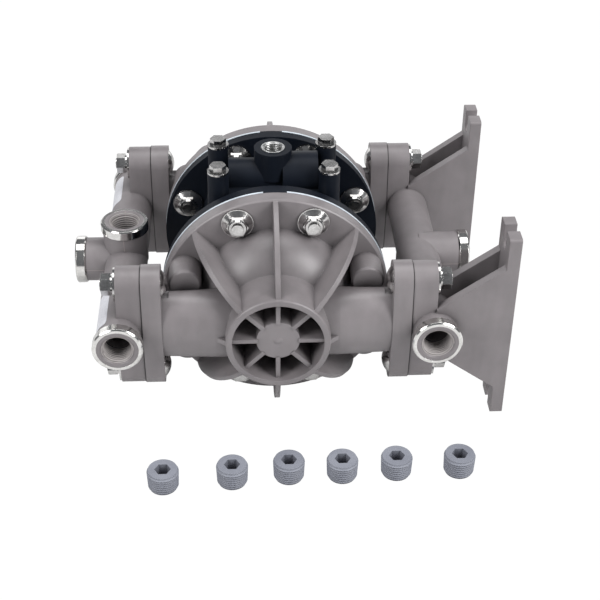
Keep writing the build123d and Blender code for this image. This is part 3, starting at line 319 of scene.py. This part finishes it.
grey_plastic = moulded_plastic(
    "warm_grey_plastic", *GREY, roughness=0.32, edge=0.7 * MM, shine=0.6, joint=True
)
manifold_plastic = moulded_plastic(
    "manifold_grey_plastic", *GREY, roughness=0.36, edge=0.7 * MM, parting=True, joint=True
)
thread_plastic = moulded_plastic("thread_grey_plastic", *THREAD_GREY, roughness=0.40, edge=0.1 * MM)
black_plastic = moulded_plastic("blue_black_plastic", *BLACK, roughness=0.42, edge=0.6 * MM, shine=0.16)
plug_plastic = moulded_plastic("cool_grey_plastic", *COOL_GREY, roughness=0.50, edge=0.3 * MM)

polished_steel = metal(
    "polished_steel", (0.62, 0.61, 0.59), (0.80, 0.79, 0.77), roughness=0.10, edge=0.3 * MM
)
stainless_steel = metal(
    "stainless_steel", (0.50, 0.49, 0.48), (0.72, 0.71, 0.70), roughness=0.13, edge=0.12 * MM
)
turned_steel = metal(
    "turned_steel",
    (0.42, 0.42, 0.42),
    (0.60, 0.60, 0.60),
    roughness=0.25,
    edge=0.3 * MM,
    stretch=(1, 8, 1),
)
turned_aluminium = metal(
    "turned_aluminium",
    (0.60, 0.60, 0.60),
    (0.78, 0.78, 0.77),
    roughness=0.28,
    edge=0.3 * MM,
    stretch=(1, 1, 8),
)

white_plastic = rubber("white_fluoropolymer", (0.74, 0.74, 0.71), (0.84, 0.84, 0.82), roughness=0.35)
diaphragm_facing = rubber("pale_diaphragm", (0.58, 0.64, 0.70), (0.70, 0.76, 0.82), roughness=0.45)
black_rubber = rubber("black_rubber", (0.010, 0.010, 0.011), (0.022, 0.022, 0.023), roughness=0.6)
bearing_plastic = rubber("bearing_plastic", (0.52, 0.47, 0.34), (0.62, 0.57, 0.42), roughness=0.4)
bronze = sintered("sintered_bronze")
sticker = paper("blank_sticker")

FINISHES = {
    "grey_plastic": grey_plastic,
    "black_plastic": black_plastic,
    "plug_plastic": plug_plastic,
    "polished_steel": polished_steel,
    "stainless_steel": stainless_steel,
    "turned_steel": turned_steel,
    "turned_aluminium": turned_aluminium,
    "white_plastic": white_plastic,
    "diaphragm_facing": diaphragm_facing,
    "black_rubber": black_rubber,
    "bearing_plastic": bearing_plastic,
    "sintered_bronze": bronze,
}


def finish_node(node, material):
    """Gives every slot of a CAD node a material."""
    for material_slot in frame["nodes"][node].material_slots:
        material_slot.material = material


for subpart in frame["record"]["subparts"]:
    finish_node(subpart["node"], FINISHES[subpart["material_slot"]])
for name in ("outlet_manifold", "inlet_manifold"):
    finish_node(name, manifold_plastic)


def scene_object(name, data):
    """New object in the scene, at the origin."""
    made = bpy.data.objects.new(name, data)
    bpy.context.scene.collection.objects.link(made)
    return made


def mesh_object(name, vertices, faces, material):
    """New object at the origin from vertices and faces."""
    mesh = bpy.data.meshes.new(name)
    mesh.from_pydata(vertices, [], faces)
    mesh.validate()
    mesh.materials.append(material)
    return scene_object(name, mesh)


def outwards(made):
    """Turns the faces of a closed mesh outwards."""
    work = bmesh.new()
    work.from_mesh(made.data)
    bmesh.ops.recalc_face_normals(work, faces=work.faces)
    work.to_mesh(made.data)
    work.free()


class Repeat(Nodes):
    """Geometry nodes that put one shape at many places, with a named input for each of its sizes."""

    def __init__(self, name, sizes):
        super().__init__(bpy.data.node_groups.new(name, "GeometryNodeTree"))
        self.name = name
        self.sizes = sizes
        sockets = self.tree.interface
        sockets.new_socket("Places", in_out="INPUT", socket_type="NodeSocketGeometry")
        for size in sizes:
            sockets.new_socket(size, in_out="INPUT", socket_type="NodeSocketFloat")
        sockets.new_socket("Shapes", in_out="OUTPUT", socket_type="NodeSocketGeometry")
        self.given = self.add("NodeGroupInput")

    def size(self, name):
        return self.given.number(name)

    def along_z(self, shape, distance):
        """The shape, moved along its Z axis."""
        offset = self.add("ShaderNodeCombineXYZ", {}, {"Z": distance})
        sockets = {"Geometry": shape, "Translation": offset.out("Vector")}
        return self.add("GeometryNodeTransform", {}, sockets).out("Geometry")

    def at(self, shape, places, material):
        """One mesh of the shape at its places, each a point and the direction of the shape's Z axis."""
        settings = {"data_type": "FLOAT_VECTOR"}
        facing = self.add("GeometryNodeInputNamedAttribute", settings, {"Name": "facing"})
        sockets = {"Vector": facing.out("Attribute")}
        turn = self.add("FunctionNodeAlignRotationToVector", {"axis": "Z"}, sockets)
        sockets = {"Points": self.given.out("Places"), "Instance": shape, "Rotation": turn.out("Rotation")}
        stand = self.add("GeometryNodeInstanceOnPoints", {}, sockets)
        real = self.add("GeometryNodeRealizeInstances", {}, {"Geometry": stand.out("Instances")})
        sockets = {"Geometry": real.out("Geometry"), "Material": material}
        paint = self.add("GeometryNodeSetMaterial", {}, sockets)
        self.add("NodeGroupOutput", {}, {"Shapes": paint.out("Geometry")})

        points = bpy.data.meshes.new(self.name + "_places")
        points.from_pydata([point for point, _ in places], [], [])
        directions = points.attributes.new("facing", "FLOAT_VECTOR", "POINT")
        for entry, (_, direction) in zip(directions.data, places):
            entry.vector = direction
        carrier = scene_object(self.name, points)
        modifier = carrier.modifiers.new("repeat", "NODES")
        modifier.node_group = self.tree
        for item in self.tree.interface.items_tree:
            if item.name in self.sizes:
                modifier[item.identifier] = self.sizes[item.name]
        evaluated = carrier.evaluated_get(bpy.context.evaluated_depsgraph_get())
        mesh = bpy.data.meshes.new_from_object(evaluated)
        bpy.data.objects.remove(carrier)
        return scene_object(self.name, mesh)


# Threads inside the ports
PORT_THREAD = {"Pitch": 1.81 * MM, "Length": 13.5 * MM, "Ridge": 0.8 * MM}
PORT_START = {"Pitch": 0.72 * MM, "Length": 1.44 * MM, "Ridge": 0.4 * MM}
START_MOUTH = 1.2 * MM  # mouth of the widening start, beyond the end of the port's wall
START_WIDENING = 1.0 * MM  # how much the radius of the start grows to its mouth
AIR_THREAD = {"Pitch": 1.34 * MM, "Length": 10.5 * MM, "Ridge": 0.7 * MM}
COIL_STEPS = 48  # of one turn of a thread


def threads(name, ports, material, form, beyond=0.0, widening=0.0):
    """Helical ridges in ports of one size, up to their mouths, which lie beyond the ends of the walls."""
    bore = ports[0]["dims"]["r_mm"] * MM
    group = Repeat(name, {"Bore Radius": bore, "Mouth Radius": bore + widening} | form)
    length = group.size("Length")
    sockets = {
        "Resolution": COIL_STEPS,
        "Rotations": length / group.size("Pitch"),
        "Start Radius": group.size("Bore Radius"),
        "End Radius": group.size("Mouth Radius"),
        "Height": length,
    }
    spiral = group.add("GeometryNodeCurveSpiral", {}, sockets)
    upright = group.add("GeometryNodeSetCurveNormal", {"mode": "Z_UP"}, {"Curve": spiral.out("Curve")})
    sockets = {"Resolution": 3, "Radius": group.size("Ridge")}
    ridge = group.add("GeometryNodeCurvePrimitiveCircle", {}, sockets)
    sockets = {"Curve": upright.out("Curve"), "Profile Curve": ridge.out("Curve"), "Fill Caps": True}
    coil = group.add("GeometryNodeCurveToMesh", {}, sockets)
    mouths = []
    for port in ports:
        direction = Vector(port["axis"])
        half = port["dims"]["length_mm"] * MM / 2
        mouths.append((Vector(port["pos_m"]) + direction * (half + beyond), direction))
    return group.at(group.along_z(coil.out("Mesh"), -length), mouths, material)


pipe_ports = [mount for name, mount in mounts.items() if "_port_" in name]
port_threads = threads("port_threads", pipe_ports, thread_plastic, PORT_THREAD)
port_starts = threads(
    "port_thread_starts", pipe_ports, thread_plastic, PORT_START, START_MOUTH, START_WIDENING
)
for coils in (port_threads, port_starts):
    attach(coils, BODY)

air_threads = threads("air_inlet_thread", [mounts["air_inlet"]], turned_aluminium, AIR_THREAD)
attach(air_threads, BODY)


# Ends of the closed bosses on the fluid caps, which stand out beyond the studs that they cover
BOSS_CIRCLE = 67.5 * MM
BOSS_TURN = math.radians(22.5)  # up or down from the X axis
BOSS_FOOT = 64.1 * MM  # where the end starts, along Y from the middle of the pump
BOSS_TOP = 75 * MM
BOSS_SIZES = {"Radius": 11.2 * MM, "Length": BOSS_TOP - BOSS_FOOT, "Edge": 1.2 * MM}
BOSS_SIDES = 64
SHARP_ANGLE = math.radians(35)


def boss_places():
    """Foot of each boss end, and the direction that it stands out in."""
    places = []
    for towards in (-1, 1):
        for middle in (0, math.pi):
            for angle in (middle - BOSS_TURN, middle + BOSS_TURN):
                x = BOSS_CIRCLE * math.cos(angle)
                z = AXIS_HEIGHT + BOSS_CIRCLE * math.sin(angle)
                places.append(((x, towards * BOSS_FOOT, z), (0, towards, 0)))
    return places


def boss_ends(name, places, material, sizes):
    """Short round posts with a sloping edge."""
    group = Repeat(name, sizes)
    radius = group.size("Radius")
    edge = group.size("Edge")
    straight = group.size("Length") - edge
    sockets = {"Vertices": BOSS_SIDES, "Radius": radius, "Depth": straight}
    post = group.add("GeometryNodeMeshCylinder", {}, sockets)
    stood = group.along_z(post.out("Mesh"), straight * 0.5)
    sockets = {"Vertices": BOSS_SIDES, "Radius Top": radius - edge, "Radius Bottom": radius, "Depth": edge}
    slope = group.add("GeometryNodeMeshCone", {}, sockets)
    raised = group.along_z(slope.out("Mesh"), straight)
    whole = group.add("GeometryNodeJoinGeometry", {}, {"Geometry": stood})
    group.connect(whole.node, {"Geometry": raised})
    made = group.at(whole.out("Geometry"), places, material)
    made.data.shade_smooth()
    made.data.set_sharp_from_angle(angle=SHARP_ANGLE)
    return made


bosses = boss_ends("boss_ends", boss_places(), grey_plastic, BOSS_SIZES)
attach(bosses, BODY)


# Stickers on the outlet pipe
STICKER_THICKNESS = 0.12 * MM
STICKER_CORNER = 3 * MM
STICKER_TURNS = (math.radians(119), math.radians(190))  # from the X axis up and over the pipe
STICKER_ENDS = (61 * MM, 100 * MM)  # along the pipe, from the middle of the pump
STICKER_ROWS = 16
STICKER_COLUMNS = 18


def sticker_vertices(radius, towards):
    """Rows of points of a sheet with rounded corners, bent round the outlet pipe at a radius."""
    first, last = STICKER_ENDS
    middle = sum(STICKER_TURNS) / 2
    reach = (STICKER_TURNS[1] - STICKER_TURNS[0]) / 2
    vertices = []
    for row in range(STICKER_ROWS + 1):
        share = (1 - math.cos(math.pi * row / STICKER_ROWS)) / 2
        along = first + (last - first) * share
        inside = max(0.0, STICKER_CORNER - min(along - first, last - along))
        cut = STICKER_CORNER - math.sqrt(STICKER_CORNER**2 - inside**2)
        for column in range(STICKER_COLUMNS + 1):
            angle = middle + (reach - cut / PIPE_RADIUS) * (2 * column / STICKER_COLUMNS - 1)
            x = -PIPE_X + radius * math.cos(angle)
            vertices.append((x, towards * along, AXIS_HEIGHT + radius * math.sin(angle)))
    return vertices


def sticker_on_pipe(name, towards):
    """Thin closed sheet on the outlet pipe. Towards is -1 for the front and 1 for the rear."""
    vertices = sticker_vertices(PIPE_RADIUS, towards)
    layer = len(vertices)
    vertices += sticker_vertices(PIPE_RADIUS + STICKER_THICKNESS, towards)
    stride = STICKER_COLUMNS + 1
    faces = []
    for row in range(STICKER_ROWS):
        for column in range(STICKER_COLUMNS):
            corner = row * stride + column
            face = (corner, corner + 1, corner + stride + 1, corner + stride)
            faces.append(face)
            faces.append(tuple(layer + index for index in reversed(face)))
    rim = list(range(STICKER_COLUMNS))
    rim += [row * stride + STICKER_COLUMNS for row in range(STICKER_ROWS)]
    rim += [layer - 1 - column for column in range(STICKER_COLUMNS)]
    rim += [(STICKER_ROWS - row) * stride for row in range(STICKER_ROWS)]
    for here, after in zip(rim, rim[1:] + rim[:1]):
        faces.append((after, here, layer + here, layer + after))
    made = mesh_object(name, vertices, faces, sticker)
    outwards(made)
    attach(made, BODY)


for side, towards in (("front", -1), ("rear", 1)):
    sticker_on_pipe(f"sticker_{side}", towards)


# Diaphragms, cut into sectors
SECTORS = 12


def disc_sector(node, name, angle):
    """Copy of the part of a CAD disc that lies about an angle."""
    work = bmesh.new()
    work.from_mesh(frame["nodes"][node].data)
    half = math.pi / SECTORS
    for side in (-1, 1):
        turned = angle + side * (half + math.pi / 2)
        outside = (math.cos(turned), 0, math.sin(turned))
        plane = {"plane_co": PUMP_MIDDLE, "plane_no": outside}
        everything = work.verts[:] + work.edges[:] + work.faces[:]
        cut = bmesh.ops.bisect_plane(work, geom=everything, clear_outer=True, **plane)
        edges = [item for item in cut["geom_cut"] if isinstance(item, bmesh.types.BMEdge)]
        bmesh.ops.triangle_fill(work, edges=edges, use_beauty=True)
    bmesh.ops.recalc_face_normals(work, faces=work.faces)
    mesh = bpy.data.meshes.new(name)
    work.to_mesh(mesh)
    work.free()
    mesh.materials.append(diaphragm_facing)
    return scene_object(name, mesh)


def flexing_disc(node):
    """Puts sectors in place of a diaphragm.
    """
    for index in range(SECTORS):
        angle = 2 * math.pi * index / SECTORS
        piece = disc_sector(node, f"{node}_sector_{index + 1}", angle)
        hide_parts(node)
        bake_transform(piece)


for side in ("front", "rear"):
    flexing_disc(f"diaphragm_{side}")


# Floor, which lights the pump unseen, and a white sheet under it that is seen and lights nothing
SHEET_REACH = 6.0
GROUND_HEIGHT = -5 * MM


def sheet(name, height, material):
    """Square sheet that lies level."""
    sides = ((-1, -1), (1, -1), (1, 1), (-1, 1))
    corners = [(x * SHEET_REACH, y * SHEET_REACH, height) for x, y in sides]
    made = mesh_object(name, corners, [(0, 1, 2, 3)], material)
    return made


floor_finish = Finish("pale_floor")
floor_tone = floor_finish.blend(floor_finish.noise(3), (0.70, 0.70, 0.70), (0.74, 0.74, 0.74))
floor_finish.set({"Base Color": floor_tone, "Roughness": 0.9})
floor = sheet("floor", 0, floor_finish.material)
floor.visible_camera = False

ground_finish = Finish("white_ground")
ground_tone = ground_finish.blend(ground_finish.noise(3), (0.99, 0.99, 0.99), (1.0, 1.0, 1.0))
ground_finish.set({"Base Color": (0, 0, 0, 1), "Emission Color": ground_tone, "Emission Strength": 1.02})
ground = sheet("ground", GROUND_HEIGHT, ground_finish.material)
ground.visible_diffuse = False
ground.visible_glossy = False
ground.visible_shadow = False

# Light from all round
SKY_COLOUR = (0.92, 0.95, 1.0, 1)
SKY_STRENGTH = 0.18
world = bpy.data.worlds.new("studio")
world.use_nodes = True
sky = world.node_tree.nodes["Background"]
sky.inputs["Color"].default_value = SKY_COLOUR
sky.inputs["Strength"].default_value = SKY_STRENGTH
bpy.context.scene.world = world


# Soft lights
def softbox(name, *, place, target, width, height, watts):
    """Soft light that looks at a point."""
    lamp = bpy.data.lights.new(name, "AREA")
    lamp.shape = "RECTANGLE"
    lamp.size = width
    lamp.size_y = height
    lamp.energy = watts
    made = scene_object(name, lamp)
    made.location = place
    made.rotation_mode = "QUATERNION"
    made.rotation_quaternion = (Vector(target) - Vector(place)).to_track_quat("-Z", "Y")


softbox("overhead", place=(0.0, 0.1, 1.4), target=PUMP_MIDDLE, width=1.0, height=0.7, watts=8.5)
softbox("left_key", place=(-1.0, -0.7, 0.95), target=PUMP_MIDDLE, width=0.6, height=0.9, watts=12)
softbox("right_key", place=(1.0, -0.7, 0.95), target=PUMP_MIDDLE, width=0.6, height=0.9, watts=17)
softbox("backdrop", place=(0.0, 1.6, 0.5), target=(0, 0, 0.3), width=3.0, height=0.9, watts=10)

# Camera of the photograph: where it stands, how it is turned and its focal length in picture widths
CAMERA_PLACE = Vector((-0.0256, -0.8127, 0.6125))
CAMERA_PITCH = math.radians(34.862)
CAMERA_YAW = math.radians(3.237)
CAMERA_ROLL = math.radians(0.722)
CAMERA_FOCUS = 1309.0 / 600
CAMERA_CLIP = (0.01, 50)
SENSOR_WIDTH = 36  # in millimetres, as the lens is

ahead = Vector(
    (
        math.sin(CAMERA_YAW) * math.cos(CAMERA_PITCH),
        math.cos(CAMERA_YAW) * math.cos(CAMERA_PITCH),
        -math.sin(CAMERA_PITCH),
    )
)
level = Vector((math.cos(CAMERA_YAW), -math.sin(CAMERA_YAW), 0))
above = level.cross(ahead)
right = math.cos(CAMERA_ROLL) * level + math.sin(CAMERA_ROLL) * above
up = math.cos(CAMERA_ROLL) * above - math.sin(CAMERA_ROLL) * level
camera_data = bpy.data.cameras.new("camera")
camera_data.sensor_width = SENSOR_WIDTH
camera_data.lens = CAMERA_FOCUS * SENSOR_WIDTH
camera_data.clip_start, camera_data.clip_end = CAMERA_CLIP
camera = scene_object("camera", camera_data)
turned = Matrix((right, up, -ahead)).transposed().to_4x4()
camera.matrix_world = Matrix.Translation(CAMERA_PLACE) @ turned
bpy.context.scene.camera = camera
bpy.context.scene.view_settings.view_transform = "Standard"
